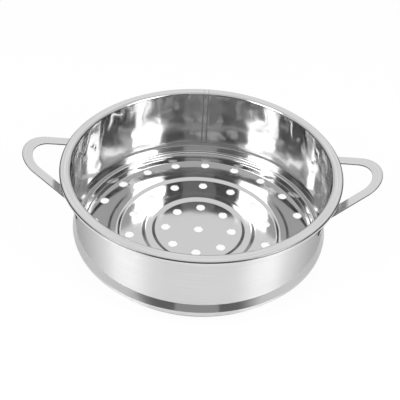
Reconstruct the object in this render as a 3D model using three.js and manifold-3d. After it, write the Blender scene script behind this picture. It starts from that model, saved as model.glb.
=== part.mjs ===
// Steamer insert: a stainless steel basket that stands in the mouth of a pot.
// The side wall is one rolled strip with its rim, stop bead, spigot and foot formed in it.
// The base is a pressed, perforated disc with two raised beads that sits in the foot.
// Two flat strap handles are folded down onto the wall and spot-welded there.
// Millimetres, +Z up, origin at the centre of the face that the basket rests on.
// +X points at the right handle and -Y at the front.
import * as THREE from 'three';
import { mergeVertices } from 'three/addons/utils/BufferGeometryUtils.js';
import Module from 'manifold-3d';

// Sheet and fits
const SHEET = 0.6;
const CLEARANCE = 0.3;

// Side wall, outside sizes
const HEIGHT = 85;
const RIM_RADIUS = 130;
const RIM_LIP_DEPTH = 3;
const RIM_LIP_BEND = 2.5;
const RIM_BEND = 2;
const WALL_TOP_RADIUS = 120.6;
const WALL_FOOT_RADIUS = 119.4;
const FLARE_HEIGHT = 6.9;
const FLARE_BEND = 1.5;
const BEAD_RADIUS = 122.7;
const BEAD_HEIGHT = 14.6;
const BEAD_FACE = 2.4;
const BEAD_BEND = 1;
const FOLD_RADIUS = 119.8;
const FOLD_HEIGHT = 9.6;
const FOLD_BEND = 1;
const SPIGOT_TOP_RADIUS = 115.3;
const SPIGOT_HEIGHT = 12.6;
const SPIGOT_BEND = 1.2;
const SPIGOT_FOOT_RADIUS = 113;
const FOOT_WIDTH = 3;
const FOOT_BEND = 1.5;

// Perforated base
const BASE_FLANGE_HEIGHT = 6.2;
const BASE_BEND = 0.9;
const HOLE_RADIUS = 4.5;
const HOLE_RINGS = [
  { count: 8, radius: 33.1 },
  { count: 14, radius: 68.7 },
  { count: 20, radius: 105 },
];
const HOLE_START_DEGREES = 89.3;
const BASE_BEADS = [
  { radius: 49.8, width: 14.2 },
  { radius: 84.2, width: 13.8 },
];
const BASE_BEAD_HEIGHT = 2;

// Strap handles, along the middle of the strap. The reach is measured from the outer edge of the rim,
// rise and drops from its top, and the stand-off of the crease from the top of the wall.
const STRAP_WIDTH = 9.5;
const STRAP_THICKNESS = 1.4;
const STRAP_EDGE = 0.4;
const HANDLE_REACH = 31.3;
const APEX_RISE = 1.2;
const HANDLE_TILT_DEGREES = 22.3;
const NOSE_RADIUS = 26.5;
const LEG_SPLAY_DEGREES = 27.5;
const CREASE_STAND_OFF = 4.9;
const TAB_TOP_DROP = 20.5;
const TAB_END_DROP = 30;
const WELD_RADIUS = 1.5;
const WELD_CROWN = 0.5;

// Facets
const ROUND_FACETS = 60;
const HOLE_FACETS = 12;
const BEND_STEPS = 2;
const BEAD_STEPS = 6;
const NOSE_STEPS = 9;
const FOLD_STEPS = 3;

// Fits worked out from the sizes above
const FLOOR_LEVEL = SHEET + CLEARANCE + SHEET / 2;
const FLARE_TOP = BEAD_HEIGHT + BEAD_FACE + FLARE_HEIGHT;
const WALL_TAPER = (WALL_TOP_RADIUS - WALL_FOOT_RADIUS) / (HEIGHT - FLARE_TOP);
const TAB_RADIUS = WALL_TOP_RADIUS - WALL_TAPER * TAB_TOP_DROP + CLEARANCE + STRAP_THICKNESS / 2;
const APEX_RADIUS = RIM_RADIUS + HANDLE_REACH;
const CREASE_RADIUS = WALL_TOP_RADIUS + CREASE_STAND_OFF;
const WELD_HOLE_RADIUS = WELD_RADIUS + CLEARANCE;

const wasm = await Module();
wasm.setup();

const satinSteel = { color: 0xc9cbcc, roughness: 0.38, metalness: 1 };
const polishedSteel = { color: 0xc4c6c8, roughness: 0.12, metalness: 1 };
const weldSteel = { color: 0xa9abad, roughness: 0.5, metalness: 1 };

function sub(name, geometry, finish) {
  geometry.computeVertexNormals();
  const mesh = new THREE.Mesh(geometry, new THREE.MeshStandardMaterial(finish));
  mesh.name = name;
  return mesh;
}

// Leaves only shared positions, so that neighbouring faces meet at common vertices.
function welded(geometry) {
  geometry.deleteAttribute('normal');
  geometry.deleteAttribute('uv');
  return mergeVertices(geometry, 1e-3);
}

function toManifold(geometry) {
  const merged = welded(geometry);
  const vertProperties = new Float32Array(merged.attributes.position.array);
  const triVerts = new Uint32Array(merged.index.array);
  return new wasm.Manifold(new wasm.Mesh({ numProp: 3, vertProperties, triVerts }));
}

function fromManifold(solid) {
  const { vertProperties, triVerts } = solid.getMesh();
  const geometry = new THREE.BufferGeometry();
  geometry.setAttribute('position', new THREE.BufferAttribute(new Float32Array(vertProperties), 3));
  geometry.setIndex(new THREE.BufferAttribute(new Uint32Array(triVerts), 1));
  return geometry;
}

// A corner of a bent sheet becomes an arc of the given radius, tangent to both of its sides.
function bend(before, corner, after, radius) {
  const back = before.clone().sub(corner).normalize();
  const ahead = after.clone().sub(corner).normalize();
  const halfAngle = back.angleTo(ahead) / 2;
  const reach = radius / Math.tan(halfAngle);
  const start = corner.clone().addScaledVector(back, reach);
  const bisector = back.clone().add(ahead).normalize();
  const centre = corner.clone().addScaledVector(bisector, radius / Math.sin(halfAngle));
  const spoke = start.clone().sub(centre);
  const sweep = Math.sign(back.cross(ahead)) * (2 * halfAngle - Math.PI);
  const points = [];
  for (let step = 0; step <= BEND_STEPS; step += 1) {
    points.push(spoke.clone().rotateAround(new THREE.Vector2(), (sweep * step) / BEND_STEPS).add(centre));
  }
  return points;
}

// The middle line of a sheet, as (radius, height) points, from corners that may carry a bend radius.
function middleLine(corners) {
  const at = corners.map(({ r, z }) => new THREE.Vector2(r, z));
  return corners.flatMap((corner, i) => (
    corner.bend ? bend(at[i - 1], at[i], at[i + 1], corner.bend) : [at[i]]
  ));
}

// Revolves a sheet of the given thickness around its middle line into one closed ring.
function revolvedSheet(line, thickness) {
  const sides = line.map((point, i) => {
    const before = line[Math.max(i - 1, 0)];
    const after = line[Math.min(i + 1, line.length - 1)];
    const into = point.clone().sub(before).normalize();
    const out = after.clone().sub(point).normalize();
    const along = into.clone().add(out).normalize();
    const stretch = Math.max(along.dot(into), along.dot(out));
    return new THREE.Vector2(-along.y, along.x).multiplyScalar(thickness / 2 / stretch);
  });
  const left = line.map((point, i) => point.clone().add(sides[i]));
  const right = line.map((point, i) => point.clone().sub(sides[i]));
  const profile = [...right, ...left.reverse(), right[0].clone()];
  return new THREE.LatheGeometry(profile, ROUND_FACETS).rotateX(Math.PI / 2);
}

// Wall strip from the inner edge of its foot, up the spigot, round the fold that stops it on the pot's mouth,
// and up the wall to the end of the rim's lip.
function sideWall() {
  const half = SHEET / 2;
  const line = middleLine([
    { r: SPIGOT_FOOT_RADIUS - FOOT_WIDTH, z: half },
    { r: SPIGOT_FOOT_RADIUS - half, z: half, bend: FOOT_BEND },
    { r: SPIGOT_TOP_RADIUS - half, z: SPIGOT_HEIGHT, bend: SPIGOT_BEND },
    { r: FOLD_RADIUS - half, z: FOLD_HEIGHT + half, bend: FOLD_BEND },
    { r: BEAD_RADIUS - half, z: BEAD_HEIGHT },
    { r: BEAD_RADIUS - half, z: BEAD_HEIGHT + BEAD_FACE, bend: BEAD_BEND },
    { r: WALL_FOOT_RADIUS - half, z: FLARE_TOP, bend: FLARE_BEND },
    { r: WALL_TOP_RADIUS - half, z: HEIGHT - half, bend: RIM_BEND },
    { r: RIM_RADIUS - half, z: HEIGHT - half, bend: RIM_LIP_BEND },
    { r: RIM_RADIUS - half, z: HEIGHT - RIM_LIP_DEPTH },
  ]);
  return welded(revolvedSheet(line, SHEET));
}

// A raised bead is one full cosine wave over its width.
function baseBead({ radius, width }) {
  const points = [];
  for (let step = 0; step <= BEAD_STEPS; step += 1) {
    const share = step / BEAD_STEPS;
    const rise = (BASE_BEAD_HEIGHT / 2) * (1 - Math.cos(2 * Math.PI * share));
    points.push({ r: radius + width * (share - 0.5), z: FLOOR_LEVEL + rise });
  }
  return points;
}

function holeCutters() {
  return HOLE_RINGS.flatMap(({ count, radius }) => {
    const cutters = [];
    for (let i = 0; i < count; i += 1) {
      const angle = THREE.MathUtils.degToRad(HOLE_START_DEGREES) + (2 * Math.PI * i) / count;
      const depth = 4 * (FLOOR_LEVEL + SHEET);
      const pin = new THREE.CylinderGeometry(HOLE_RADIUS, HOLE_RADIUS, depth, HOLE_FACETS);
      pin.rotateX(Math.PI / 2);
      pin.rotateZ(angle);
      pin.translate(radius * Math.cos(angle), radius * Math.sin(angle), FLOOR_LEVEL);
      cutters.push(toManifold(pin));
    }
    return cutters;
  });
}

// Base pan from the edge of its centre hole, over both beads, to the top of the flange along the spigot.
function perforatedBase() {
  const spigotTaper = (SPIGOT_TOP_RADIUS - SPIGOT_FOOT_RADIUS) / SPIGOT_HEIGHT;
  const insideSpigot = (z) => (
    SPIGOT_FOOT_RADIUS + spigotTaper * z - (1.5 * SHEET + CLEARANCE) * Math.hypot(1, spigotTaper)
  );
  const line = middleLine([
    { r: HOLE_RADIUS, z: FLOOR_LEVEL },
    ...BASE_BEADS.flatMap(baseBead),
    { r: insideSpigot(FLOOR_LEVEL), z: FLOOR_LEVEL, bend: BASE_BEND },
    { r: insideSpigot(BASE_FLANGE_HEIGHT), z: BASE_FLANGE_HEIGHT },
  ]);
  const disc = toManifold(revolvedSheet(line, SHEET));
  const pierced = holeCutters().reduce((solid, cutter) => solid.subtract(cutter), disc);
  return fromManifold(pierced);
}

// One half of the strap, from its apex to the end of its tab, as middle points with rulings across it.
// The nose and the straight leg are a flat U in a plane that tilts up and out. The leg folds down at a
// crease, where that plane meets an upright plane along the rim, slants in under the rim and ends in a
// tab on the wall.
function strapHalf() {
  const stations = [];
  const station = (middle, ruling) => stations.push({ middle, ruling });
  const tilt = THREE.MathUtils.degToRad(HANDLE_TILT_DEGREES);
  const inPlane = (out, side) => new THREE.Vector3(out * Math.cos(tilt), side, out * Math.sin(tilt));
  const apex = new THREE.Vector3(APEX_RADIUS, 0, HEIGHT + APEX_RISE);
  const noseSweep = Math.PI / 2 - THREE.MathUtils.degToRad(LEG_SPLAY_DEGREES);
  for (let step = 0; step <= NOSE_STEPS; step += 1) {
    const angle = (noseSweep * step) / NOSE_STEPS;
    const fromApex = inPlane(NOSE_RADIUS * (Math.cos(angle) - 1), NOSE_RADIUS * Math.sin(angle));
    station(fromApex.add(apex), inPlane(Math.cos(angle), Math.sin(angle)));
  }
  const legStart = stations[NOSE_STEPS].middle;
  const legRun = inPlane(-Math.sin(noseSweep), Math.cos(noseSweep));
  const speed = legRun.x ** 2 + legRun.y ** 2;
  const inward = legStart.x * legRun.x + legStart.y * legRun.y;
  const beyond = legStart.x ** 2 + legStart.y ** 2 - CREASE_RADIUS ** 2;
  const legLength = (-inward - Math.sqrt(inward ** 2 - speed * beyond)) / speed;
  const crease = legStart.clone().addScaledVector(legRun, legLength);
  const creaseAngle = Math.atan2(crease.y, crease.x);
  const creaseRuling = inPlane(-Math.sin(creaseAngle) / Math.cos(tilt), Math.cos(creaseAngle)).normalize();
  station(crease, creaseRuling);

  const lean = Math.tan(legRun.angleTo(creaseRuling) - Math.asin(creaseRuling.z));
  const onWall = (radius, angle, drop) => (
    new THREE.Vector3(radius * Math.cos(angle), radius * Math.sin(angle), HEIGHT - drop)
  );
  const level = (angle) => new THREE.Vector3(-Math.sin(angle), Math.cos(angle), 0);
  const creaseDrop = HEIGHT - crease.z;
  const fall = Math.hypot(CREASE_RADIUS - TAB_RADIUS, TAB_TOP_DROP - creaseDrop);
  const tabAngle = creaseAngle + fall / lean / CREASE_RADIUS;
  for (let step = 1; step <= FOLD_STEPS; step += 1) {
    const share = step / FOLD_STEPS;
    const radius = THREE.MathUtils.lerp(CREASE_RADIUS, TAB_RADIUS, share);
    const angle = THREE.MathUtils.lerp(creaseAngle, tabAngle, share);
    const drop = THREE.MathUtils.lerp(creaseDrop, TAB_TOP_DROP, share);
    station(onWall(radius, angle, drop), creaseRuling.clone().lerp(level(angle), share).normalize());
  }
  for (let step = 1; step <= FOLD_STEPS; step += 1) {
    const down = ((TAB_END_DROP - TAB_TOP_DROP) * step) / FOLD_STEPS;
    const angle = tabAngle + down / lean / TAB_RADIUS;
    station(onWall(TAB_RADIUS, angle, TAB_TOP_DROP + down), level(angle));
  }
  return stations;
}

function mirrored({ middle, ruling }) {
  return {
    middle: new THREE.Vector3(middle.x, -middle.y, middle.z),
    ruling: new THREE.Vector3(ruling.x, -ruling.y, ruling.z),
  };
}

// Strap section with eased edges, in shares of the ruling's half length and the half thickness.
function strapSection(halfRuling) {
  const side = 1 - STRAP_EDGE / halfRuling;
  const face = 1 - (2 * STRAP_EDGE) / STRAP_THICKNESS;
  return [[-side, -1], [side, -1], [1, -face], [1, face], [side, 1], [-side, 1], [-1, face], [-1, -face]];
}

// Carries the strap's section along its stations. A slanting ruling is longer than the strap is wide,
// and at a fold the section stands in the mitre between its two faces.
function sweptStrap(stations) {
  const positions = [];
  const index = [];
  const last = stations.length - 1;
  const faceAcross = (i, ruling) => {
    const along = stations[i + 1].middle.clone().sub(stations[i].middle).normalize();
    return along.cross(ruling);
  };
  stations.forEach(({ middle, ruling }, i) => {
    const before = faceAcross(Math.max(i - 1, 0), ruling);
    const after = faceAcross(Math.min(i, last - 1), ruling);
    const halfRuling = STRAP_WIDTH / (before.length() + after.length());
    const normal = before.clone().normalize().add(after.normalize()).normalize();
    const halfMitre = STRAP_THICKNESS / 2 / normal.dot(after);
    strapSection(halfRuling).forEach(([u, v]) => {
      const point = middle.clone();
      point.addScaledVector(ruling, u * halfRuling);
      point.addScaledVector(normal, v * halfMitre);
      positions.push(point.x, point.y, point.z);
    });
  });
  const count = strapSection(STRAP_WIDTH).length;
  for (let i = 0; i < last; i += 1) {
    for (let k = 0; k < count; k += 1) {
      const here = i * count + k;
      const next = i * count + ((k + 1) % count);
      index.push(here, next, next + count, here, next + count, here + count);
    }
  }
  for (let k = 1; k < count - 1; k += 1) {
    index.push(0, k + 1, k, last * count, last * count + k, last * count + k + 1);
  }
  const geometry = new THREE.BufferGeometry();
  geometry.setAttribute('position', new THREE.Float32BufferAttribute(positions, 3));
  geometry.setIndex(index);
  return geometry;
}

// Two weld spots on each tab, a quarter of the tab's length from its ends.
function weldSpots(half) {
  const tabEnd = half[half.length - 1].middle;
  const tabTop = half[half.length - 1 - FOLD_STEPS].middle;
  return [['upper', 0.25], ['lower', 0.75]].flatMap(([level, share]) => {
    const point = tabTop.clone().lerp(tabEnd, share);
    const angle = Math.atan2(point.y, point.x);
    return [['back', angle], ['front', -angle]].map(([side, turn]) => (
      { name: `${side}_${level}`, turn, z: point.z }
    ));
  });
}

// Turns a solid made along +Z to point straight out from the wall at a weld spot.
function standOnWall(geometry, { turn, z }, radius) {
  geometry.rotateY(Math.PI / 2);
  geometry.translate(radius, 0, z);
  return geometry.rotateZ(turn);
}

function weldNugget(spot) {
  const length = STRAP_THICKNESS;
  const profile = [
    new THREE.Vector2(0, 0),
    new THREE.Vector2(WELD_RADIUS, 0),
    new THREE.Vector2(WELD_RADIUS, length),
    new THREE.Vector2(WELD_RADIUS * 0.6, length + WELD_CROWN * 0.7),
    new THREE.Vector2(0, length + WELD_CROWN),
  ];
  const nugget = new THREE.LatheGeometry(profile, HOLE_FACETS).rotateX(Math.PI / 2);
  return welded(standOnWall(nugget, spot, TAB_RADIUS - STRAP_THICKNESS / 2));
}

function handle(half, spots) {
  const stations = [...half.slice(1).map(mirrored).reverse(), ...half];
  const strap = toManifold(sweptStrap(stations));
  const drilled = spots.reduce((solid, spot) => {
    const pin = new THREE.CylinderGeometry(
      WELD_HOLE_RADIUS, WELD_HOLE_RADIUS, 4 * STRAP_THICKNESS, HOLE_FACETS,
    ).rotateX(Math.PI / 2);
    return solid.subtract(toManifold(standOnWall(pin, spot, TAB_RADIUS)));
  }, strap);
  return fromManifold(drilled);
}

function handleGroup(side, turn) {
  const half = strapHalf();
  const spots = weldSpots(half);
  const group = new THREE.Group();
  group.rotation.z = turn;
  group.add(sub(`${side}_handle`, handle(half, spots), satinSteel));
  spots.forEach((spot) => group.add(sub(`${side}_weld_${spot.name}`, weldNugget(spot), weldSteel)));
  return group;
}

const steamerInsert = new THREE.Group();
steamerInsert.add(sub('side_wall', sideWall(), satinSteel));
steamerInsert.add(sub('perforated_base', perforatedBase(), polishedSteel));
steamerInsert.add(handleGroup('right', 0));
steamerInsert.add(handleGroup('left', Math.PI));

export default steamerInsert;
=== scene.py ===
"""Looks of a stainless steel steamer insert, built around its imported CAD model."""
import math

import bpy
import numpy as np
from bpy.props import FloatProperty, PointerProperty, StringProperty
from mathutils import Matrix, Vector


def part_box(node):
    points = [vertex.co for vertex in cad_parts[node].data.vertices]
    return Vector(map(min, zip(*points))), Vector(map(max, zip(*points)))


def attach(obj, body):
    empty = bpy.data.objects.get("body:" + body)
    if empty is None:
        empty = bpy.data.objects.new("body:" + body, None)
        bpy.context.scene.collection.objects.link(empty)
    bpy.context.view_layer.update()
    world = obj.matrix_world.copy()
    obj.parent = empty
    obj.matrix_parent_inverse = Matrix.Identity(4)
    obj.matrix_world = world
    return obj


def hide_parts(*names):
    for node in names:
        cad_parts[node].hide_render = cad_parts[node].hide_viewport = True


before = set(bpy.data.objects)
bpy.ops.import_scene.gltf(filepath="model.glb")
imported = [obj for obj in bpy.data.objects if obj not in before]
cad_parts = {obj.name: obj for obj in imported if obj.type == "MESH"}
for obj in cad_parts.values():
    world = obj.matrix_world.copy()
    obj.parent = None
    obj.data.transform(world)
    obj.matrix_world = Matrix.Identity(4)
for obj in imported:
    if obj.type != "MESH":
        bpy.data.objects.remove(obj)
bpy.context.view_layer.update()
WALL_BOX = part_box("side_wall")

bl_info = {
    "name": "Steamer insert",
    "version": (1, 0, 0),
    "blender": (4, 5, 0),
    "location": "3D View > Sidebar > Steamer insert",
    "description": "Builds a stainless steel steamer insert and the studio it stands in",
    "category": "Add Mesh",
}

MM = 0.001
BODY = "root"


def length(name, description, millimetres):
    """A length property whose default is given in millimetres."""
    default = millimetres * MM
    return FloatProperty(name=name, description=description, default=default, precision=5, unit="LENGTH")


def angle(name, description, degrees):
    """An angle property whose default is given in degrees."""
    return FloatProperty(name=name, description=description, default=math.radians(degrees), unit="ROTATION")


def colour(name, description, default):
    """A colour property written as an sRGB hex value."""
    return StringProperty(name=name, description=description, default=default)


def roughness(surface, default):
    """A roughness property of one finish, from 0 for a mirror to 1."""
    name, description = f"{surface} roughness", f"How far the {surface.lower()} spreads a reflection"
    return FloatProperty(name=name, description=description, default=default, min=0, max=1, subtype="FACTOR")


class WallSizes(bpy.types.PropertyGroup):
    """Outside sizes of the rolled side wall, from its foot to its rim."""

    height: length("Height", "From the table to the top of the rim", WALL_BOX[1].z / MM)
    rim_radius: length("Rim radius", "Outer edge of the rim", WALL_BOX[1].x / MM)
    sheet: length("Sheet", "Thickness of the wall and the base", 0.6)
    lip_depth: length("Lip depth", "How far the rim's edge turns down", 3)
    lip_bend: length("Lip bend", "Bend radius at the outer edge of the rim", 1.25)
    rim_bend: length("Rim bend", "Bend radius where the wall turns out into the rim", 2)
    top_radius: length("Wall top", "Outside of the wall at the rim", 120.6)
    foot_radius: length("Wall foot", "Outside of the wall at the flare", 119.4)
    flare_height: length("Flare height", "Height of the flare above the stop bead", 6.9)
    flare_bend: length("Flare bend", "Bend radius at the top of the flare", 1.5)
    bead_radius: length("Bead radius", "Outside of the stop bead", 122.7)
    bead_height: length("Bead height", "Lower corner of the bead above the table", 14.6)
    bead_face: length("Bead face", "Height of the upright face of the bead", 2.4)
    bead_bend: length("Bead bend", "Bend radius of the bead's two corners", 1)
    fold_radius: length("Fold radius", "Outside of the fold under the bead", 119.8)
    fold_height: length("Fold height", "Lowest point of the fold above the table", 9.6)
    fold_bend: length("Fold bend", "Bend radius of the fold", 1)
    spigot_top: length("Spigot top", "Outside of the spigot's upper end", 115.3)
    spigot_height: length("Spigot height", "Upper end of the spigot above the table", 12.6)
    spigot_bend: length("Spigot bend", "Bend radius between spigot and fold", 1.2)
    spigot_foot: length("Spigot foot", "Outside of the spigot at the table", 113)
    foot_width: length("Foot width", "Width of the foot ring that turns in", 3)
    foot_bend: length("Foot bend", "Bend radius at the foot", 1.5)
    dent_radius: length("Dent radius", "Size of a weld's dent on the inside of the wall", 3.2)
    dent_depth: length("Dent depth", "Depth of a weld's dent on the inside of the wall", 0.22)


class BaseSizes(bpy.types.PropertyGroup):
    """Sizes of the pressed and perforated base."""

    clearance: length("Clearance", "Gap between the base and the wall", 0.3)
    flange_height: length("Flange height", "Top of the upturned flange above the table", 6.2)
    flange_bend: length("Flange bend", "Bend radius at the foot of the flange", 0.9)
    hole_radius: length("Hole radius", "Radius of every hole", 4.5)
    hole_round: length("Hole rounding", "Rounding of the holes' upper edges by the punch", 0.2)
    hole_start: angle("First hole", "Direction of the first hole of each ring", 89.3)
    bead_height: length("Bead height", "Height of the raised beads", 2)
    bead_crest: length("Bead crest", "Width of the flat top of each raised bead", 5)


class HandleSizes(bpy.types.PropertyGroup):
    """Sizes of the folded strap handles, along the middle of the strap."""

    width: length("Strap width", "Width of the strap", 9.5)
    thickness: length("Strap thickness", "Thickness of the strap", 1.4)
    edge: length("Edge rounding", "Rounding of the strap's edges", 0.4)
    reach: length("Reach", "Strap's middle at the apex, from the outer edge of the rim", 31.3)
    apex_rise: length("Apex rise", "Strap's middle at the apex above the rim", 1.2)
    tilt: angle("Tilt", "How far the loop tilts up and out", 22.3)
    nose_radius: length("Nose radius", "Radius of the round nose", 26.5)
    splay: angle("Leg splay", "Angle of each leg to the handle's axis", 27.5)
    crease: length("Crease", "Where the strap starts to fold down, from the top of the wall", 4.9)
    tab_top: length("Tab top", "Where the tab meets the wall, below the rim", 20.5)
    tab_end: length("Tab end", "Lower end of the tab, below the rim", 30)
    weld_radius: length("Weld radius", "Radius of a spot weld", 1.5)
    weld_crown: length("Weld crown", "Height of a spot weld over the tab", 0.5)


class SteelFinish(bpy.types.PropertyGroup):
    """Colours and gloss of the steel's finishes."""

    satin: colour("Satin steel", "Outside of the wall", "#DADADA")
    satin_roughness: roughness("Satin steel", 0.34)
    fine: colour("Fine satin steel", "Rim and faces of the straps", "#D3D3D3")
    fine_roughness: roughness("Fine satin steel", 0.17)
    bright: colour("Bright steel", "Inside of the wall", "#BDBDBD")
    bright_roughness: roughness("Bright steel", 0.09)
    polished: colour("Polished steel", "Base, flare, stop bead, spigot and foot", "#CBCBCB")
    polished_roughness: roughness("Polished steel", 0.1)
    # The edge colour is painted shade for the dark reflections along the rim's lip and the straps' edges, and
    # partly the dull cut steel of the straps
    sheared: colour("Sheared steel", "Edges of the straps and of the rim", "#6C6C6C")
    sheared_roughness: roughness("Sheared steel", 0.24)
    weld: colour("Weld steel", "Heat-dulled steel of the spot welds", "#A3A3A3")
    weld_roughness: roughness("Weld steel", 0.45)


class StudioSettings(bpy.types.PropertyGroup):
    """Camera, lamps, floor and surround."""

    distance: length("Camera distance", "From the lens to the point it looks at", 681.9)
    elevation: angle("Camera elevation", "Height of the camera above the horizon", 40.11)
    azimuth: angle("Camera azimuth", "Turn of the camera around the object", 1.27)
    roll: angle("Camera roll", "Turn of the camera around its line of sight", 3.16)
    aim: length("Aim height", "Height of the point that the camera and the lamps look at", 39.6)
    focal: FloatProperty(name="Focal length", description="Of the lens", default=63.67, unit="CAMERA")
    left_lamp: angle("Left lamp", "Turn of the left softbox from the camera's side", -60)
    right_lamp: angle("Right lamp", "Turn of the right softbox from the camera's side", 59)
    lamp_elevation: angle("Lamp elevation", "Height of the softboxes above the horizon", 37)
    lamp_distance: length("Lamp distance", "From the middle of the foot to each softbox", 1300)
    lamp_width: length("Lamp width", "Width of each softbox", 600)
    lamp_height: length("Lamp height", "Height of each softbox", 800)
    radiance: FloatProperty(name="Lamp radiance", description="Brightness of each softbox", default=6.5)
    floor: colour("Floor", "Coated paper under the object", "#F7F7F7")
    surround: length("Surround", "Radius of the curved card", 1250)


# Shapes

UP = np.array([0.0, 0.0, 1.0])


def unit(direction):
    """Unit vectors along the last axis."""
    return direction / np.linalg.norm(direction, axis=-1, keepdims=True)


def level(turn):
    """Level unit vectors at angles around the upright axis."""
    return np.stack([np.cos(turn), np.sin(turn), 0 * turn], axis=-1)


def full_circle(count):
    """Angles in even steps once round."""
    return np.linspace(0, 2 * np.pi, count, endpoint=False)


def travelled(points):
    """Distance along a line of points, from the first point to each."""
    return np.append(0, np.cumsum(np.linalg.norm(np.diff(points, axis=0), axis=1)))


def left_of(heading):
    """Unit vectors to the left of headings in a plane."""
    return np.stack([-np.sin(heading), np.cos(heading)], axis=-1)


def bent_line(corners, arc_steps, pitch):
    """Middle line of a bent sheet in the plane of radius and height.

    Corners are rows of radius, height and bend. A side runs straight from corner to corner. A bend
    replaces its corner by an arc that is tangent to both sides: the heading turns evenly and the point
    is the arc's centre less the turn's sign times the bend along the left normal. Returns the points,
    their left normals and a label, whole on a side and half-way between two on an arc.
    """
    at, bends = corners[:, :2], corners[:, 2]
    run = np.diff(at, axis=0)
    heading = np.unwrap(np.arctan2(run[:, 1], run[:, 0]))
    turn = np.diff(heading)
    trim = np.concatenate([[0], bends[1:-1] * np.tan(np.abs(turn) / 2), [0]])
    points, headings, labels = [], [], []
    for side, (direction, start, end) in enumerate(zip(unit(run), at[:-1], at[1:])):
        first = start + direction * trim[side]
        last = end - direction * trim[side + 1]
        count = max(2, math.ceil(np.linalg.norm(last - first) / pitch) + 1)
        share = np.linspace(0, 1, count)[:, None]
        points.append(first + (last - first) * share)
        headings.append(np.full(count, heading[side]))
        labels.append(np.full(count, float(side)))
        if side < len(turn) and bends[side + 1] > 0:
            sweep = heading[side] + turn[side] * np.linspace(0, 1, arc_steps + 1)[1:-1]
            lean = np.sign(turn[side]) * bends[side + 1]
            points.append(last + lean * (left_of(heading[side]) - left_of(sweep)))
            headings.append(sweep)
            labels.append(np.full(len(sweep), side + 0.5))
    return np.concatenate(points), left_of(np.concatenate(headings)), np.concatenate(labels)


def sheet_section(points, normals, labels, half, cap_steps=6):
    """Closed outline of a sheet: the middle line moved half a sheet to either side, with round ends.

    At an end the normal turns half a circle about the end point. Returns the outline's points and
    normals, the labels, and whether a point is on the left side.
    """
    sweep = np.linspace(0, np.pi, cap_steps + 1)[1:-1, None]
    ahead = np.stack([normals[:, 1], -normals[:, 0]], axis=-1)
    far = normals[-1] * np.cos(sweep) + ahead[-1] * np.sin(sweep)
    near = -normals[0] * np.cos(sweep) - ahead[0] * np.sin(sweep)
    outward = np.concatenate([normals, far, -normals[::-1], near])
    there = np.arange(len(points))
    walk = np.concatenate([there, np.full(len(sweep), there[-1]), there[::-1], np.full(len(sweep), 0)])
    return points[walk] + outward * half, outward, labels[walk], np.arange(len(walk)) < len(points)


def quad_grid(rows, columns, wrap_rows=False, wrap_columns=False):
    """Corners of a grid's quads: their rows, their columns and their point numbers.

    Across a wrapped side, the rows or columns count one past the last and the point is the first again.
    """
    lines = np.arange(rows - 1 + wrap_rows), np.arange(columns - 1 + wrap_columns)
    row, column = np.meshgrid(*lines, indexing="ij")
    corner_rows = np.stack([row, row + 1, row + 1, row], axis=-1).reshape(-1, 4)
    corner_columns = np.stack([column, column, column + 1, column + 1], axis=-1).reshape(-1, 4)
    return corner_rows, corner_columns, (corner_rows % rows) * columns + corner_columns % columns


def make_piece(name, points, faces, normals, materials, finish=None, surface=None, caps=()):
    """Puts whole arrays into a mesh object whose faces are turned to the side of their normals.

    Faces are rows of four point numbers, and normals belong to the points or to the faces' corners. Caps
    are lists of point numbers that are already turned right. Surface holds each corner's place on the
    surface in metres, as the UV map that the finishes read.
    """
    corner_normals = normals if normals.shape[:-1] == faces.shape else normals.reshape(-1, 3)[faces]
    points = points.reshape(-1, 3)
    side = np.cross(points[faces[:, 2]] - points[faces[:, 0]], points[faces[:, 3]] - points[faces[:, 1]])
    wrong = np.einsum("ij,ij->i", side, corner_normals.sum(axis=1)) < 0
    order = np.where(wrong[:, None], [3, 2, 1, 0], [0, 1, 2, 3])
    row = np.arange(len(faces))[:, None]
    mesh = bpy.data.meshes.new(name)
    mesh.from_pydata(points, [], [*faces[row, order].tolist(), *caps])
    for material in materials:
        mesh.materials.append(material)
    loose = sum(len(cap) for cap in caps)
    if finish is not None:
        indices = np.concatenate([finish, np.zeros(len(caps))]).astype(np.int32)
        mesh.polygons.foreach_set("material_index", indices)
    if surface is not None:
        places = mesh.uv_layers.new(name="surface")
        corners = np.concatenate([surface[row, order].reshape(-1, 2), np.zeros((loose, 2))])
        places.data.foreach_set("uv", corners.astype(np.float32).ravel())
    mesh.polygons.foreach_set("use_smooth", np.ones(len(mesh.polygons), bool))
    turned = corner_normals[row, order].reshape(-1, 3)
    mesh.normals_split_custom_set(np.concatenate([turned, np.zeros((loose, 3))]))
    mesh.update()
    piece = bpy.data.objects.new(name, mesh)
    bpy.context.scene.collection.objects.link(piece)
    return piece


def settle(piece, slot, *nodes):
    """Lets a finished piece stand for its CAD nodes and ride on the part's one body."""
    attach(piece, BODY)
    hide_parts(*nodes)


def node_centres(nodes):
    """Middles of CAD nodes' boxes, as rows."""
    return np.array([(low + high) / 2 for low, high in map(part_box, nodes)])


def weld_nodes(side=""):
    """Names of the spot welds' CAD nodes, of one handle or of both."""
    return sorted(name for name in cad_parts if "_weld_" in name and name.startswith(side))


# Finishes

WAVE_SPAN = 24 * MM
HAIR_LENGTH = 60 * MM
SEAM_PLACE = -2.1 * MM
SEAM_HALF_GAP = 2.4 * MM
SEAM_HALF_LINE = 0.7 * MM
SEAM_DEPTH = 0.05 * MM
SEAM_TONE = 0.75


def linear(hex_colour):
    """An sRGB hex value as a linear colour with alpha."""
    parts = [int(hex_colour[i:i + 2], 16) / 255 for i in (1, 3, 5)]
    return (*[p / 12.92 if p <= 0.04045 else ((p + 0.055) / 1.055) ** 2.4 for p in parts], 1)


def put(tree, node, inputs):
    """Fills a node's inputs with values, or with links from outputs or from other nodes' first outputs."""
    for name, value in inputs.items():
        if isinstance(value, bpy.types.Node):
            value = value.outputs[0]
        if isinstance(value, bpy.types.NodeSocket):
            tree.links.new(value, node.inputs[name])
        else:
            node.inputs[name].default_value = value


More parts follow.
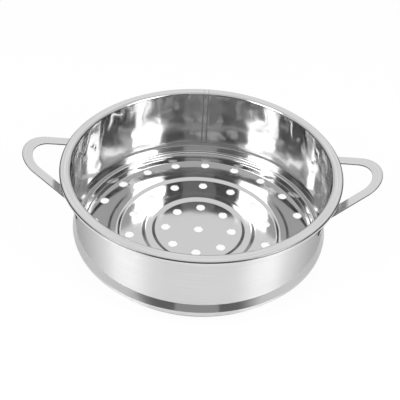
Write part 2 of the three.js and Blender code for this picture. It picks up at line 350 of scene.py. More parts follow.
def add(tree, kind, inputs=None, **settings):
    """Adds a node with its inputs and settings."""
    node = tree.nodes.new(kind)
    for name, value in settings.items():
        setattr(node, name, value)
    put(tree, node, inputs or {})
    return node


def new_material(name):
    """A material with its node tree and its shader."""
    material = bpy.data.materials.new(name)
    material.use_nodes = True
    return material, material.node_tree, material.node_tree.nodes["Principled BSDF"]


def steel(name, kind):
    """A metal with the default IOR and one kind's colour and roughness, for a finish to add to."""
    finish = bpy.context.scene.steamer_finish
    material, tree, shader = new_material(name)
    put(tree, shader, {
        "Base Color": linear(getattr(finish, kind)), "Metallic": 1,
        "Roughness": getattr(finish, f"{kind}_roughness"),
    })
    return material, tree, shader


def uneven(tree, place, scale, detail, strength, depth):
    """A bump that a noise gives a surface."""
    noise = add(tree, "ShaderNodeTexNoise", {"Vector": place, "Scale": scale, "Detail": detail})
    return add(tree, "ShaderNodeBump", {"Height": noise, "Strength": strength, "Distance": depth})


def waves(tree, depth):
    """A bump for the slight waves that rolling and pressing leave in a sheet."""
    place = add(tree, "ShaderNodeTexCoord").outputs["Object"]
    return uneven(tree, place, 1 / WAVE_SPAN, 1.0, 1.0, depth)


def along_surface(tree, span, width):
    """Places on the surface, in shares of a span along it and a width across it."""
    place = add(tree, "ShaderNodeUVMap", uv_map="surface")
    return add(tree, "ShaderNodeMapping", {"Vector": place, "Scale": (1 / span, 1 / width, 1)})


def seam(tree, shader, tone, normal):
    """Colour and bump of the butt weld at the back, where the strip's ends meet: two darker, sunk lines.

    The distance to the nearer line is the distance of x from the seam's middle, less half of the lines'
    gap, without its sign; a line fades out over its half width. Only the back, where y is positive, has it.
    """
    axes = add(tree, "ShaderNodeSeparateXYZ", {0: add(tree, "ShaderNodeTexCoord").outputs["Object"]}).outputs
    aside = add(tree, "ShaderNodeMath", {0: axes["X"], 1: SEAM_PLACE}, operation="SUBTRACT")
    from_middle = add(tree, "ShaderNodeMath", {0: aside}, operation="ABSOLUTE")
    past = add(tree, "ShaderNodeMath", {0: from_middle, 1: SEAM_HALF_GAP}, operation="SUBTRACT")
    from_line = add(tree, "ShaderNodeMath", {0: past}, operation="ABSOLUTE")
    line = add(tree, "ShaderNodeMapRange", {
        "Value": from_line, "From Max": SEAM_HALF_LINE, "To Min": 1, "To Max": 0,
    }, interpolation_type="SMOOTHSTEP")
    back = add(tree, "ShaderNodeMath", {0: axes["Y"], 1: 0}, operation="GREATER_THAN")
    mark = add(tree, "ShaderNodeMath", {0: line, 1: back}, operation="MULTIPLY")
    dull = [SEAM_TONE * part for part in shader.inputs["Base Color"].default_value]
    marked = add(tree, "ShaderNodeMixRGB", {"Fac": mark, "Color1": tone, "Color2": dull})
    groove = {"Height": mark, "Normal": normal, "Strength": 1.0, "Distance": SEAM_DEPTH}
    return marked, add(tree, "ShaderNodeBump", groove, invert=True)


def brushed(metal, stretch, pitch, depth, wave, grain):
    """Adds belt marks that run round the wall, or along a strap, to a metal.

    The marks are long hair lines, a noise that is stretched along the surface's first axis. Gloss spreads
    across them, so a lamp becomes a band square to the lines, and gloss and tone vary from line to line.
    """
    material, tree, shader = metal
    bright, spread = (shader.inputs[name].default_value for name in ("Base Color", "Roughness"))
    lines = along_surface(tree, HAIR_LENGTH, pitch)
    hair = add(tree, "ShaderNodeTexNoise", {"Vector": lines, "Scale": 1.0, "Detail": 3.0})
    gloss = add(tree, "ShaderNodeMapRange", {"Value": hair, "To Min": 0.85 * spread, "To Max": 1.15 * spread})
    streaks = add(tree, "ShaderNodeMapRange", {"Value": hair, "From Min": 0.3, "From Max": 0.7})
    dark, light = ([(1 + change) * part for part in bright] for change in (-grain, grain))
    tone = add(tree, "ShaderNodeMixRGB", {"Fac": streaks, "Color1": dark, "Color2": light})
    grooves = add(tree, "ShaderNodeBump", {
        "Height": hair, "Normal": waves(tree, wave), "Strength": 0.25, "Distance": depth,
    })
    marked, bump = seam(tree, shader, tone, grooves)
    along = add(tree, "ShaderNodeTangent", direction_type="UV_MAP", uv_map="surface")
    put(tree, shader, {
        "Base Color": marked, "Roughness": gloss, "Normal": bump, "Tangent": along,
        "Anisotropic": stretch, "Anisotropic Rotation": 0.25,
    })
    return material


def satin_brushed_steel():
    """Stainless steel brushed with a belt, outside the wall: soft, with upright bands under the lamps.

    The real lines are about 0.05 mm apart; they are drawn 0.7 mm apart so that they show. The grey specular
    tint darkens the skin where it is seen at a low angle: painted shade for the darker reflections along the
    wall's outline.
    """
    metal = steel("satin_brushed_steel", "satin")
    # Painted shade: the grey tint darkens the reflection towards the wall's outline
    put(*metal[1:], {"Specular Tint": (0.5, 0.5, 0.5, 1)})
    return brushed(metal, stretch=0.85, pitch=0.7 * MM, depth=0.01 * MM, wave=0.05 * MM, grain=0.05)


def fine_satin_steel():
    """Stainless steel ground with a fine wheel, on the rim and the straps: pale and even, with faint streaks.

    The real lines are too fine to see; they are drawn 0.8 mm apart so that the streaks show.
    """
    metal = steel("fine_satin_steel", "fine")
    return brushed(metal, stretch=0.3, pitch=0.8 * MM, depth=0.006 * MM, wave=0.05 * MM, grain=0.12)


def bright_brushed_steel():
    """Stainless steel polished while the wall turns, on its inside: a wavy mirror, softer up and down.

    The real lines are too fine to see; they are drawn 0.8 mm apart.
    """
    metal = steel("bright_brushed_steel", "bright")
    return brushed(metal, stretch=1.0, pitch=0.8 * MM, depth=0.001 * MM, wave=0.9 * MM, grain=0.03)


def mirror_polished_steel():
    """Stainless steel polished to a mirror after pressing: clear reflections, bent by the sheet's waves."""
    material, tree, shader = steel("mirror_polished_steel", "polished")
    put(tree, shader, {"Normal": waves(tree, 0.15 * MM)})
    return material


def sheared_edge_steel():
    """Stainless steel on the straps' sheared edges and on the bend of the rim's lip: dull, with torn lines
    across the edge. Its dark colour is painted shade for the dark reflections along these edges; on the
    straps it is partly also the dull cut steel.
    """
    material, tree, shader = steel("sheared_edge_steel", "sheared")
    lines = along_surface(tree, 0.3 * MM, 2 * MM)
    put(tree, shader, {"Normal": uneven(tree, lines, 1.0, 2.0, 0.3, 0.05 * MM)})
    return material


def spot_weld_steel():
    """Stainless steel that was melted and cooled in air: dull, with a slightly rough skin."""
    material, tree, shader = steel("spot_weld_steel", "weld")
    place = add(tree, "ShaderNodeTexCoord").outputs["Object"]
    put(tree, shader, {"Normal": uneven(tree, place, 1 / (0.6 * MM), 4.0, 0.4, 0.1 * MM)})
    return material


def finish_material(make):
    """The material that a finish's function makes, made once."""
    return bpy.data.materials.get(make.__name__) or make()


# Pieces

def flare_top(wall):
    """Height at which the flare ends and the straight wall starts."""
    return wall.bead_height + wall.bead_face + wall.flare_height


def tab_face(wall, base, strap):
    """Radius of a tab's inner face; the wall widens upwards, so the tab clears it at its top."""
    taper = (wall.top_radius - wall.foot_radius) / (wall.height - flare_top(wall))
    return wall.top_radius - taper * strap.tab_top + base.clearance


def wall_corners(wall):
    """Corners of the wall's middle line, from its foot up to the end of the rim's lip, with their bends."""
    half = wall.sheet / 2
    return np.array([
        (wall.spigot_foot - wall.foot_width, half, 0),
        (wall.spigot_foot - half, half, wall.foot_bend),
        (wall.spigot_top - half, wall.spigot_height, wall.spigot_bend),
        (wall.fold_radius - half, wall.fold_height + half, wall.fold_bend),
        (wall.bead_radius - half, wall.bead_height, wall.bead_bend),
        (wall.bead_radius - half, wall.bead_height + wall.bead_face, wall.bead_bend),
        (wall.foot_radius - half, flare_top(wall), wall.flare_bend),
        (wall.top_radius - half, wall.height - half, wall.rim_bend),
        (wall.rim_radius - half, wall.height - half, wall.lip_bend),
        (wall.rim_radius - half, wall.height - wall.lip_depth, 0),
    ])


# Sides of the wall's line that are the straight wall and the rim
WALL_SIDE, RIM_SIDE = 6, 7
WALL_FINISHES = (
    satin_brushed_steel, fine_satin_steel, bright_brushed_steel, mirror_polished_steel, sheared_edge_steel,
)
# The last finish is the dark edge finish, whose colour is painted shade
SATIN, FINE, BRIGHT, MIRROR, PAINTED_SHADE_EDGE = range(len(WALL_FINISHES))


class STEAMER_OT_wall(bpy.types.Operator):
    """Add the side wall, one rolled strip with its rim, stop bead, spigot and foot formed in it"""

    bl_idname = "steamer.wall"
    bl_label = "Side wall"
    around = 300
    arc_steps = 7
    pitch = 2.2 * MM
    dent_columns = 11
    dent_reach = 1.3
    # The lip's bend takes the dark edge finish, whose colour is painted shade, where its normal points up by
    # less than this
    edge_lift = 0.97

    def execute(self, context):
        wall = context.scene.steamer_wall
        line = bent_line(wall_corners(wall), self.arc_steps, self.pitch)
        outline, outward, labels, left = sheet_section(*line, wall.sheet / 2)
        spots = node_centres(weld_nodes())
        spot_angles = np.arctan2(spots[:, 1], spots[:, 0])
        reach = self.dent_reach * wall.dent_radius / wall.top_radius
        near_dents = spot_angles[:, None] + np.linspace(-reach, reach, self.dent_columns)
        turns = np.concatenate([full_circle(self.around), near_dents.ravel() % (2 * np.pi)])
        turns = np.unique(np.round(turns, 4))
        inside = left & (labels == WALL_SIDE)
        radius, normals = self.dented(wall, outline, outward, inside, turns, spots, spot_angles)
        points = radius[..., None] * level(turns) + outline[:, 1:, None] * UP
        rows, columns, faces = quad_grid(len(outline), len(turns), wrap_rows=True, wrap_columns=True)
        along = travelled(np.append(outline, outline[:1], axis=0))
        around = np.append(turns, 2 * np.pi + turns[0]) * wall.top_radius
        finish = np.full(len(faces), MIRROR)
        # A bright line stays between the flat rim and its lip, which are two bands
        for kind, band in (
            (SATIN, ~left & (labels >= WALL_SIDE)),
            (BRIGHT, left & (labels >= WALL_SIDE - 0.5)),
            (FINE, left & (labels == RIM_SIDE)),
            (FINE, left & (labels > RIM_SIDE)),
            # Painted shade: the outer part of the lip's bend gets the dark edge colour for the dark
            # reflection along the rim's edge
            (PAINTED_SHADE_EDGE, left & (labels == RIM_SIDE + 0.5) & (outward[:, 1] < self.edge_lift)),
        ):
            finish[band[rows[:, 0]] & band[rows[:, 1] % len(outline)]] = kind
        piece = make_piece(
            "wall_strip", points, faces, normals, [finish_material(make) for make in WALL_FINISHES],
            finish, np.stack([around[columns], along[rows]], axis=-1),
        )
        settle(piece, "satin_steel", "side_wall")
        return {"FINISHED"}

    @staticmethod
    def dented(wall, outline, outward, inside, turns, spots, spot_angles):
        """Radius and normal of the wall's grid, with a dent where each weld has pulled the inside out.

        A dent's depth falls off as the square of one less the squared distance from its middle, in
        shares of its radius; the normal leans by the depth's slope along the wall and up it.
        """
        offset = (turns - spot_angles[:, None] + np.pi) % (2 * np.pi) - np.pi
        across = offset[:, None, :] * wall.top_radius
        up = (outline[:, 1] - spots[:, 2:])[:, :, None]
        share = np.clip(1 - (across ** 2 + up ** 2) / wall.dent_radius ** 2, 0, None) * inside[None, :, None]
        depth = wall.dent_depth * (share ** 2).sum(axis=0)
        steep = -4 * wall.dent_depth * share / wall.dent_radius ** 2
        slope_across, slope_up = (steep * across).sum(axis=0), (steep * up).sum(axis=0)
        normal = outward[:, :1, None] * level(turns) + outward[:, 1:, None] * UP
        lean = slope_across[..., None] * level(turns + np.pi / 2) + slope_up[..., None] * UP
        return outline[:, :1] + depth, unit(normal + lean)


# Count and radius of each ring of holes, and half the width of its flat band
HOLE_RINGS = ((8, 33.1 * MM), (14, 68.7 * MM), (20, 105 * MM))
PATCH_HALF = 6.7 * MM
# Middle and width of each raised bead
BASE_BEADS = ((49.8 * MM, 14.2 * MM), (84.2 * MM, 13.8 * MM))
# Points that are closer than this are one
SAME_PLACE = 1e-3 * MM


class STEAMER_OT_base(bpy.types.Operator):
    """Add the base, a pressed disc with two raised beads, rings of punched holes and an upturned flange"""

    bl_idname = "steamer.base"
    bl_label = "Perforated base"
    around = 280
    ring_pitch = 0.85 * MM
    side_steps = 12
    # Rows of a patch, as shares of the hole's rounding and of the flat beyond it
    rows_on_round = (0, 0.1, 0.4, 1)
    rows_on_flat = (0.12, 0.3, 0.6, 1)
    bend_steps = 6
    flange_pitch = 1.2 * MM

    def execute(self, context):
        wall, base = context.scene.steamer_wall, context.scene.steamer_base
        half = wall.sheet / 2
        self.disc_height = wall.sheet + base.clearance + half
        step = 2 * np.pi / self.around
        lags = [base.hole_start - np.pi / count for count, _ in HOLE_RINGS]
        stretches = []
        inner, lag = base.hole_radius, lags[0]
        for (count, radius), next_lag in zip(HOLE_RINGS, lags):
            drift = (next_lag - lag + step / 2) % step - step / 2
            stretches.append(self.plain_ring(base, inner, radius - PATCH_HALF, lag, drift))
            stretches.append(self.pierced_ring(base, count, radius))
            inner, lag = radius + PATCH_HALF, lag + drift
        stretches.append(self.flange(wall, base, inner, lag))
        piece = self.thickened(stretches, half)
        settle(piece, "polished_steel", "perforated_base")
        return {"FINISHED"}

    def rise(self, base, radius):
        """Height and slope of the disc at a radius: flat, with half a cosine wave on each side of a bead."""
        height, slope = np.full_like(radius, self.disc_height), np.zeros_like(radius)
        for middle, width in BASE_BEADS:
            side = (width - base.bead_crest) / 2
            turn = np.pi * np.clip((np.abs(radius - middle) - base.bead_crest / 2) / side, 0, 1)
            height += base.bead_height / 2 * (1 + np.cos(turn))
            slope -= np.sign(radius - middle) * base.bead_height / 2 * np.pi / side * np.sin(turn)
        return height, slope

    def plain_ring(self, base, inner, outer, lag, drift):
        """Rings between two radii, whose spokes drift by part of a step to meet the next holes' patches."""
        count = max(4, math.ceil((outer - inner) / self.ring_pitch))
        share = np.linspace(0, 1, count + 1)[:, None]
        turn = lag + drift * share + full_circle(self.around)
        radius = inner + (outer - inner) * share + 0 * turn
        height, slope = self.rise(base, radius)
        points = radius[..., None] * level(turn) + height[..., None] * UP
        normals = unit(UP - slope[..., None] * level(turn))
        return points, normals, 0 * height, quad_grid(count + 1, self.around, wrap_columns=True)[2]

    def pierced_ring(self, base, count, radius):
        """A ring of flat patches, one around each hole.

        The outline of a patch is walked once: along its outer arc, down one side, back along its inner
        arc and up the other side. Each point of it is joined to the point of the hole's edge in the same
        direction, and the grid's rows lie between the two, close together at the hole.
        """
        half_turn = np.pi / count
        arc = np.linspace(-half_turn, half_turn, self.around // count + 1)
        side = np.linspace(PATCH_HALF, -PATCH_HALF, self.side_steps + 1)[1:-1]
        turn = np.concatenate([arc, 0 * side + half_turn, arc[::-1], 0 * side - half_turn])
        reach = radius + np.concatenate([0 * arc + PATCH_HALF, side, 0 * arc - PATCH_HALF, side[::-1]])
        from_hole = reach[:, None] * level(turn) - np.array([radius, 0, 0])
        toward, to_edge = unit(from_hole), np.linalg.norm(from_hole, axis=-1) - base.hole_radius
        gap = np.concatenate([
            base.hole_round * np.array(self.rows_on_round)[:, None] + 0 * to_edge,
            base.hole_round + (to_edge - base.hole_round) * np.array(self.rows_on_flat)[:, None],
        ])
        lean = np.clip(1 - gap / base.hole_round, 0, 1)
        lift = np.sqrt(1 - lean ** 2)
        patch = toward * (base.hole_radius + gap)[..., None] + np.array([radius, 0, self.disc_height])
        normal = lift[..., None] * UP - lean[..., None] * toward
        spin = base.hole_start + 2 * half_turn * np.arange(count)
        axes = np.stack([level(spin), level(spin + np.pi / 2), 0 * level(spin) + UP], axis=-1)
        points, normals = (np.einsum("kab,ijb->kija", axes, part) for part in (patch, normal))
        sink = np.broadcast_to(base.hole_round * (1 - lift), points.shape[:-1])
        first = np.arange(count)[:, None, None] * gap.size
        faces = quad_grid(*gap.shape, wrap_columns=True)[2] + first
        return points, normals, sink, faces.reshape(-1, 4)

    def flange(self, wall, base, inner, lag):
        """The disc's edge, bent up along the spigot: its middle line carried round the axis."""
        taper = (wall.spigot_top - wall.spigot_foot) / wall.spigot_height
        inset = (1.5 * wall.sheet + base.clearance) * math.hypot(1, taper)

        def beside_spigot(height):
            return wall.spigot_foot + taper * height - inset, height

        line, normals, _ = bent_line(np.array([
            (inner, self.disc_height, 0),
            (*beside_spigot(self.disc_height), base.flange_bend),
            (*beside_spigot(base.flange_height), 0),
        ]), self.bend_steps, self.flange_pitch)
        out = level(lag + full_circle(self.around))
        points, normals = (part[:, :1, None] * out + part[:, 1:, None] * UP for part in (line, normals))
        faces = quad_grid(len(line), self.around, wrap_columns=True)[2]
        return points, normals, np.zeros(points.shape[:2]), faces

    @staticmethod
    def thickened(stretches, half):
        """Closes the stretches into one shell, half a sheet up and down the normals.

        Points that two stretches share are welded. An edge that only one face has is open and gets a wall.
        """
        first = np.cumsum([0] + [sink.size for _, _, sink, _ in stretches])
        points, normals = (np.concatenate([s[k].reshape(-1, 3) for s in stretches]) for k in (0, 1))
        sink = np.concatenate([s[2].ravel() for s in stretches])
        faces = np.concatenate([s[3] + start for s, start in zip(stretches, first)])
        places = np.round(points / SAME_PLACE)
        _, keep, weld = np.unique(places, axis=0, return_index=True, return_inverse=True)
        faces_up = weld.ravel()[faces]
        middle, upward, sink = points[keep], normals[keep], sink[keep]
        flat = np.where((sink > 0)[:, None], UP, upward)
        top = middle + flat * half - UP * sink[:, None]
        bottom = middle - flat * half
        edges = np.stack([faces_up, np.roll(faces_up, -1, axis=1)], axis=-1).reshape(-1, 2)
        _, where, uses = np.unique(np.sort(edges, axis=1), axis=0, return_index=True, return_counts=True)
        once = where[uses == 1]
        open_edges = edges[once]
        inward = middle[faces_up[once // 4]].mean(axis=1) - middle[open_edges].mean(axis=1)
        along = unit(middle[open_edges[:, 1]] - middle[open_edges[:, 0]])
        outside = np.cross(along, flat[open_edges[:, 0]])
        outside *= -np.sign(np.einsum("ij,ij->i", outside, inward))[:, None]
        count = len(middle)
        rim = np.concatenate([open_edges, open_edges[:, ::-1] + count], axis=1)
        faces = np.concatenate([faces_up, faces_up + count, rim])
        corner_normals = np.concatenate([
            upward[faces_up], -flat[faces_up], np.repeat(unit(outside)[:, None], 4, axis=1),
        ])
        polished = finish_material(mirror_polished_steel)
        return make_piece("base_pan", np.concatenate([top, bottom]), faces, corner_normals, [polished])


class STEAMER_OT_handles(bpy.types.Operator):
    """Add the two strap handles, each bent to a U, folded down under the rim and laid on the wall"""

    bl_idname = "steamer.handles"
    bl_label = "Strap handles"
    nose_steps = 40
    leg_steps = 12
    fold_steps = 17
    tab_steps = 12
    corner_points = 5
    # A face is edge, with the dark edge finish that is partly painted shade, where its normal points aside by
    # more than this
    edge_tilt = 0.3

    def execute(self, context):
        scene = context.scene
        strap = scene.steamer_handle
        halves = self.half_strap(scene.steamer_wall, scene.steamer_base, strap)
        mirror = np.array([1, -1, 1])
        middle, ruling = (np.concatenate([(half * mirror)[:0:-1], half]) for half in halves)
        for side, facing in (("right", 1), ("left", -1)):
            half_turn = np.array([facing, facing, 1])
            piece = self.swept(f"{side}_strap", strap, middle * half_turn, ruling * half_turn)
            settle(piece, "satin_steel", f"{side}_handle")
        return {"FINISHED"}

    def half_strap(self, wall, base, strap):
        """Half of the strap from its apex to the end of its tab: middle points and rulings across it.

        The nose is an arc and the leg a straight line in one tilted plane. The leg starts to fold where
        it comes in to the crease's radius, along the line where its plane meets an upright plane along
        the rim. A cubic curve carries it round into the tab, which winds down the wall. A fold keeps the
        strap's angle to the crease, so the tab leans by the leg's angle to the crease plus its slope.
        """
        def in_plane(out, side):
            return np.stack([out * np.cos(strap.tilt), side + 0 * out, out * np.sin(strap.tilt)], axis=-1)

        apex = np.array([wall.rim_radius + strap.reach, 0, wall.height + strap.apex_rise])
        crease_radius = wall.top_radius + strap.crease
        sweep = np.pi / 2 - strap.splay
        turn = np.linspace(0, sweep, self.nose_steps + 1)
        nose = apex + in_plane(strap.nose_radius * (np.cos(turn) - 1), strap.nose_radius * np.sin(turn))
        nose_ruling = in_plane(np.cos(turn), np.sin(turn))
        run = in_plane(-np.sin(sweep), np.cos(sweep))
        speed, inward = run[:2] @ run[:2], nose[-1, :2] @ run[:2]
        beyond = nose[-1, :2] @ nose[-1, :2] - crease_radius ** 2
        leg_length = (-inward - math.sqrt(inward ** 2 - speed * beyond)) / speed
        crease = nose[-1] + run * leg_length
        crease_angle = math.atan2(crease[1], crease[0])
        crease_ruling = unit(in_plane(-math.sin(crease_angle) / math.cos(strap.tilt), math.cos(crease_angle)))
        share = np.linspace(0, 1, self.leg_steps + 1)[1:, None]
        leg = nose[-1] + run * leg_length * share
        leg_ruling = unit(nose_ruling[-1] + (crease_ruling - nose_ruling[-1]) * share)
        tab_radius = tab_face(wall, base, strap) + strap.thickness / 2
        lean = math.tan(math.acos(run @ crease_ruling) - math.asin(crease_ruling[2]))
        fall = math.hypot(crease_radius - tab_radius, strap.tab_top - wall.height + crease[2])
        tab_angle = crease_angle + fall / lean / crease_radius
        drop = np.linspace(strap.tab_top, strap.tab_end, self.tab_steps + 1)
        tab_turn = tab_angle + (drop - strap.tab_top) / lean / tab_radius
        tab = tab_radius * level(tab_turn) + (wall.height - drop)[:, None] * UP
        tab_ruling = level(tab_turn + np.pi / 2)
        down = unit(tab[1] - tab[0])
        reach = np.linalg.norm(tab[0] - crease)
        t = np.linspace(0, 1, self.fold_steps + 1)[1:-1, None]
        fold = (
            (2 * t ** 3 - 3 * t ** 2 + 1) * crease + (t ** 3 - 2 * t ** 2 + t) * run * reach
            + (3 * t ** 2 - 2 * t ** 3) * tab[0] + (t ** 3 - t ** 2) * down * reach
        )
        fold_ruling = unit(crease_ruling + (tab_ruling[0] - crease_ruling) * t)
        return (
            np.concatenate([nose, leg, fold, tab]),
            np.concatenate([nose_ruling, leg_ruling, fold_ruling, tab_ruling]),
        )

    def swept(self, name, strap, middle, ruling):
        """Carries the strap's section, a rectangle with round edges, along its middle line.

        A point is the middle plus its share of the ruling and of the face normal. The ruling is longer
        than half the width where it slants to the strap, so that the width square to the strap stays.
        """
        along = unit(np.gradient(middle, axis=0))
        across = np.cross(along, ruling)
        half_ruling = strap.width / 2 / np.linalg.norm(across, axis=-1)
        face = unit(across)
        side = np.cross(face, along)
        side *= np.sign(np.einsum("ij,ij->i", side, ruling))[:, None]
        quarter = np.linspace(0, np.pi / 2, self.corner_points)
        corner = np.concatenate([quarter + k * np.pi / 2 for k in range(4)])
        signs = np.repeat(np.array([(1, 1), (-1, 1), (-1, -1), (1, -1)]), self.corner_points, axis=0)
        tilt = np.stack([np.cos(corner), np.sin(corner)], axis=-1)
        inset = strap.edge * (tilt - signs)
        aside = signs[:, 0] * half_ruling[:, None] + inset[:, 0]
        over = signs[:, 1] * strap.thickness / 2 + inset[:, 1]
        points = middle[:, None] + aside[..., None] * ruling[:, None] + over[:, None] * face[:, None]
        normals = tilt[None, :, :1] * side[:, None] + tilt[None, :, 1:] * face[:, None]
        count = len(corner)
        rows, columns, faces = quad_grid(len(middle), count, wrap_columns=True)
        along_strap, around_strap = travelled(middle), travelled(np.append(points[0], points[0, :1], axis=0))
        last = (len(middle) - 1) * count
        caps = [list(range(count)), list(range(last + count - 1, last - 1, -1))]
        first, second, third = points[0, :3 * self.corner_points:self.corner_points]
        if np.dot(np.cross(second - first, third - second), along[0]) > 0:
            caps = [cap[::-1] for cap in caps]
        return make_piece(
            name, points, faces, normals,
            [finish_material(fine_satin_steel), finish_material(sheared_edge_steel)],
            # The rounded edges get the dark edge finish: dull cut steel, darkened further by painted shade
            # for the dark reflections along them
            np.abs(tilt[columns % count, 0]).min(axis=1) > self.edge_tilt,
            np.stack([along_strap[rows], around_strap[columns]], axis=-1), caps,
        )


class STEAMER_OT_welds(bpy.types.Operator):
    """Add the spot welds that hold the handles' tabs to the wall"""

    bl_idname = "steamer.welds"
    bl_label = "Spot welds"
    around = 32
    dome_steps = 8
    post_share = 0.72

    def execute(self, context):
        scene = context.scene
        strap = scene.steamer_handle
        foot = tab_face(scene.steamer_wall, scene.steamer_base, strap)
        crown = foot + strap.thickness + strap.weld_crown
        for side in ("right", "left"):
            nodes = weld_nodes(side)
            piece = self.domes(f"{side}_welds", node_centres(nodes), foot, crown, strap.weld_radius)
            settle(piece, "weld_steel", *nodes)
        return {"FINISHED"}

    def domes(self, name, spots, foot, crown, radius):
        """One closed nugget at each spot, a short round post that ends in an elliptic dome.

        Its profile goes from the axis at the foot out to the radius, up, and over the dome back to the
        axis; each nugget is turned to point straight out from the wall.
        """
        sweep = np.linspace(0, np.pi / 2, self.dome_steps + 1)
        post = self.post_share * (crown - foot)
        reach = np.concatenate([[0, radius], radius * np.cos(sweep)])
        height = np.concatenate([[0, 0], post + (crown - foot - post) * np.sin(sweep)])
        lean = np.concatenate([[0, 1], np.cos(sweep)])
        lift = np.concatenate([[-1, 0], np.sin(sweep)])
        out = unit(spots * (1 - UP))[:, None, None]
        turn = full_circle(self.around)[:, None]
        ring = np.cos(turn) * np.cross(UP, out) + np.sin(turn) * UP

        def turned(along, across):
            return across[:, None, None] * ring + along[:, None, None] * out

        points = spots[:, None, None] * UP + foot * out + turned(height, reach)
        normals = unit(turned(lift, lean))
        first = np.arange(len(spots))[:, None, None] * reach.size * turn.size
        faces = (quad_grid(reach.size, turn.size, wrap_columns=True)[2] + first).reshape(-1, 4)
        return make_piece(name, points, faces, normals, [finish_material(spot_weld_steel)])


# Studio

# Shade of the surround and the height in metres where it turns white, at degrees from the camera's side
SURROUND_SHADE = (
    (-150, 0.2), (-95, 0.2), (-75, 0.43), (-52, 0.43), (-31, 0.16), (-14.05, 0.16), (-13.95, 0.39),
    (17.95, 0.39), (18.05, 0.16), (32, 0.16), (56, 0.52), (75, 0.52), (95, 0.2), (150, 0.2),
)
SURROUND_TOP = (
    (-95, 0.8), (-80, 0.45), (-52, 0.45), (-42, 1.7), (44, 1.7), (56, 0.45), (80, 0.45), (95, 0.8),
)


def around_object(azimuth, elevation, distance):
    """Places around the object; azimuth 0 is the camera's side and grows to the right."""
    turn = azimuth + bpy.context.scene.steamer_studio.azimuth - math.pi / 2
    return distance * (math.cos(elevation) * level(turn) + math.sin(elevation) * UP)


def ray_kinds(tree):
    """Outputs that are 1 for rays from the camera, and for rays that a mirror or a clear part sends on."""
    rays = add(tree, "ShaderNodeLightPath").outputs
    sent_on = {0: rays["Is Glossy Ray"], 1: rays["Is Transmission Ray"]}
    return rays["Is Camera Ray"], add(tree, "ShaderNodeMath", sent_on, operation="MAXIMUM")


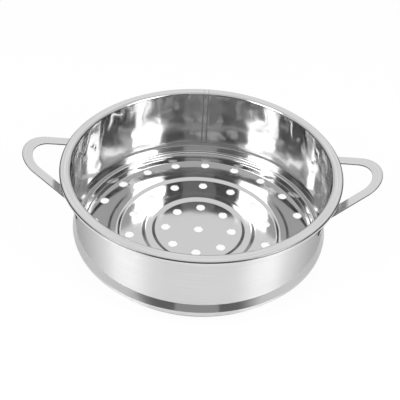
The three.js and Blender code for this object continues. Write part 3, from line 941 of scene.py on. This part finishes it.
class STEAMER_OT_studio(bpy.types.Operator):
    """Add the camera, the softboxes, the white floor and the shaded card around the camera's side"""

    bl_idname = "steamer.studio"
    bl_label = "Studio"
    room_light = 0.5
    # Sizes of the floor and the card in metres, and the parts of the floor's light that are its own
    floor_rings = (0, 0.3, 0.9, 2.4)
    floor_sides = 96
    floor_drop = 0.1 * MM
    glow_seen = 0.93
    glow_mirrored = 0.35
    card_top = 1.6
    card_rows = 33
    card_columns = 201
    card_fade = 0.2

    def execute(self, context):
        scene = context.scene
        studio = scene.steamer_studio
        scene.view_settings.view_transform = "Standard"
        self.camera(scene, studio)
        self.world(scene)
        self.floor(studio)
        self.surround(studio)
        self.softbox(scene, studio, "left_softbox", studio.left_lamp)
        self.softbox(scene, studio, "right_softbox", studio.right_lamp)
        return {"FINISHED"}

    @staticmethod
    def camera(scene, studio):
        """A camera that looks at the object, turned about its line of sight by the roll."""
        lens = bpy.data.cameras.new("camera")
        lens.lens = studio.focal
        lens.clip_start = 10 * MM
        camera = bpy.data.objects.new("camera", lens)
        back = Vector(around_object(0, studio.elevation, studio.distance))
        upright = back.to_track_quat("Z", "Y").to_matrix().to_4x4()
        place = Matrix.Translation(back + Vector((0, 0, studio.aim)))
        camera.matrix_world = place @ upright @ Matrix.Rotation(studio.roll, 4, "Z")
        scene.collection.objects.link(camera)
        scene.camera = camera

    def world(self, scene):
        """A plain white room; the camera and the steel see it white, and it lights the floor softly."""
        world = bpy.data.worlds.new("studio")
        world.use_nodes = True
        tree = world.node_tree
        camera, mirrored = ray_kinds(tree)
        seen = add(tree, "ShaderNodeMath", {0: camera, 1: mirrored}, operation="MAXIMUM")
        strength = add(tree, "ShaderNodeMapRange", {"Value": seen, "To Min": self.room_light, "To Max": 1})
        put(tree, tree.nodes["Background"], {"Color": (1, 1, 1, 1), "Strength": strength})
        scene.world = world

    def floor(self, studio):
        """A round floor of coated paper, a polar grid: a glossy white that the object still shades.

        Part of its light is its own, so that it looks as white as paper in a bright studio.
        """
        rings = np.array(self.floor_rings)[:, None, None]
        points = rings * level(full_circle(self.floor_sides)) - self.floor_drop * UP
        faces = quad_grid(len(rings), self.floor_sides, wrap_columns=True)[2]
        material, tree, shader = new_material("coated_white_paper")
        put(tree, shader, {"Base Color": linear(studio.floor), "Roughness": 0.15, "Specular IOR Level": 0.9})
        camera, mirrored = ray_kinds(tree)
        seen = add(tree, "ShaderNodeMath", {0: camera, 1: self.glow_seen}, operation="MULTIPLY")
        sent_on = add(tree, "ShaderNodeMath", {0: mirrored, 1: self.glow_mirrored}, operation="MULTIPLY")
        part = add(tree, "ShaderNodeMath", {0: sent_on, 1: seen}, operation="MAXIMUM")
        glow = add(tree, "ShaderNodeEmission", {"Color": (1, 1, 1, 1), "Strength": 1})
        mix = add(tree, "ShaderNodeMixShader", {0: part, 1: shader, 2: glow})
        put(tree, tree.nodes["Material Output"], {"Surface": mix})
        make_piece("floor", points, faces, 0 * points + UP, [material])

    def surround(self, studio):
        """A curved card around the camera's side: grey in the middle, dark beside it, pale at the sides.

        Its shade follows the angle in straight steps, and fades to white at a height that is large in the
        middle and small at the sides. It glows in that shade, unseen by the camera and without a shadow.
        """
        (angles, shades), (top_angles, tops) = np.transpose(SURROUND_SHADE), np.transpose(SURROUND_TOP)
        turn = np.union1d(np.linspace(angles[0], angles[-1], self.card_columns), angles)
        height = np.linspace(0, self.card_top, self.card_rows)[:, None]
        shade = np.interp(turn, angles, shades)
        fade = np.clip((height - np.interp(turn, top_angles, tops)) / self.card_fade + 0.5, 0, 1)
        foot = around_object(np.radians(turn), 0, studio.surround)
        points = foot + height[..., None] * UP
        faces = quad_grid(len(height), len(turn))[2]
        material, tree, _ = new_material("matt_grey_card")
        printed = add(tree, "ShaderNodeAttribute", attribute_name="shade").outputs["Fac"]
        glow = add(tree, "ShaderNodeEmission", {"Color": (1, 1, 1, 1), "Strength": printed})
        put(tree, tree.nodes["Material Output"], {"Surface": glow})
        card = make_piece("surround", points, faces, 0 * points - unit(foot), [material])
        values = card.data.attributes.new("shade", "FLOAT", "POINT")
        values.data.foreach_set("value", np.ravel(shade + (1 - shade) * fade))
        card.visible_camera = False
        card.visible_shadow = False

    @staticmethod
    def softbox(scene, studio, name, azimuth):
        """A rectangular lamp that looks at the object; its power is its radiance times its area times pi."""
        light = bpy.data.lights.new(name, "AREA")
        light.shape = "RECTANGLE"
        light.size, light.size_y = studio.lamp_width, studio.lamp_height
        light.energy = studio.radiance * studio.lamp_width * studio.lamp_height * math.pi
        lamp = bpy.data.objects.new(name, light)
        lamp.location = Vector(around_object(azimuth, studio.lamp_elevation, studio.lamp_distance))
        sight = Vector((0, 0, studio.aim)) - lamp.location
        lamp.rotation_euler = sight.to_track_quat("-Z", "Y").to_euler()
        lamp.visible_camera = False
        scene.collection.objects.link(lamp)


class STEAMER_PT_panel(bpy.types.Panel):
    """Lists the steps that build the steamer insert"""

    bl_idname = "STEAMER_PT_panel"
    bl_label = "Steamer insert"
    bl_space_type = "VIEW_3D"
    bl_region_type = "UI"
    bl_category = "Steamer insert"

    def draw(self, context):
        for operator in OPERATORS:
            self.layout.operator(operator.bl_idname)


GROUPS = {
    "steamer_wall": WallSizes, "steamer_base": BaseSizes, "steamer_handle": HandleSizes,
    "steamer_finish": SteelFinish, "steamer_studio": StudioSettings,
}
OPERATORS = (STEAMER_OT_wall, STEAMER_OT_base, STEAMER_OT_handles, STEAMER_OT_welds, STEAMER_OT_studio)


def register():
    for kind in (*GROUPS.values(), *OPERATORS, STEAMER_PT_panel):
        bpy.utils.register_class(kind)
    for name, group in GROUPS.items():
        setattr(bpy.types.Scene, name, PointerProperty(type=group))


def unregister():
    for name in GROUPS:
        delattr(bpy.types.Scene, name)
    for kind in reversed((*GROUPS.values(), *OPERATORS, STEAMER_PT_panel)):
        bpy.utils.unregister_class(kind)


def main():
    register()
    bpy.ops.steamer.wall()
    bpy.ops.steamer.base()
    bpy.ops.steamer.handles()
    bpy.ops.steamer.welds()
    bpy.ops.steamer.studio()


if __name__ == "__main__":
    main()
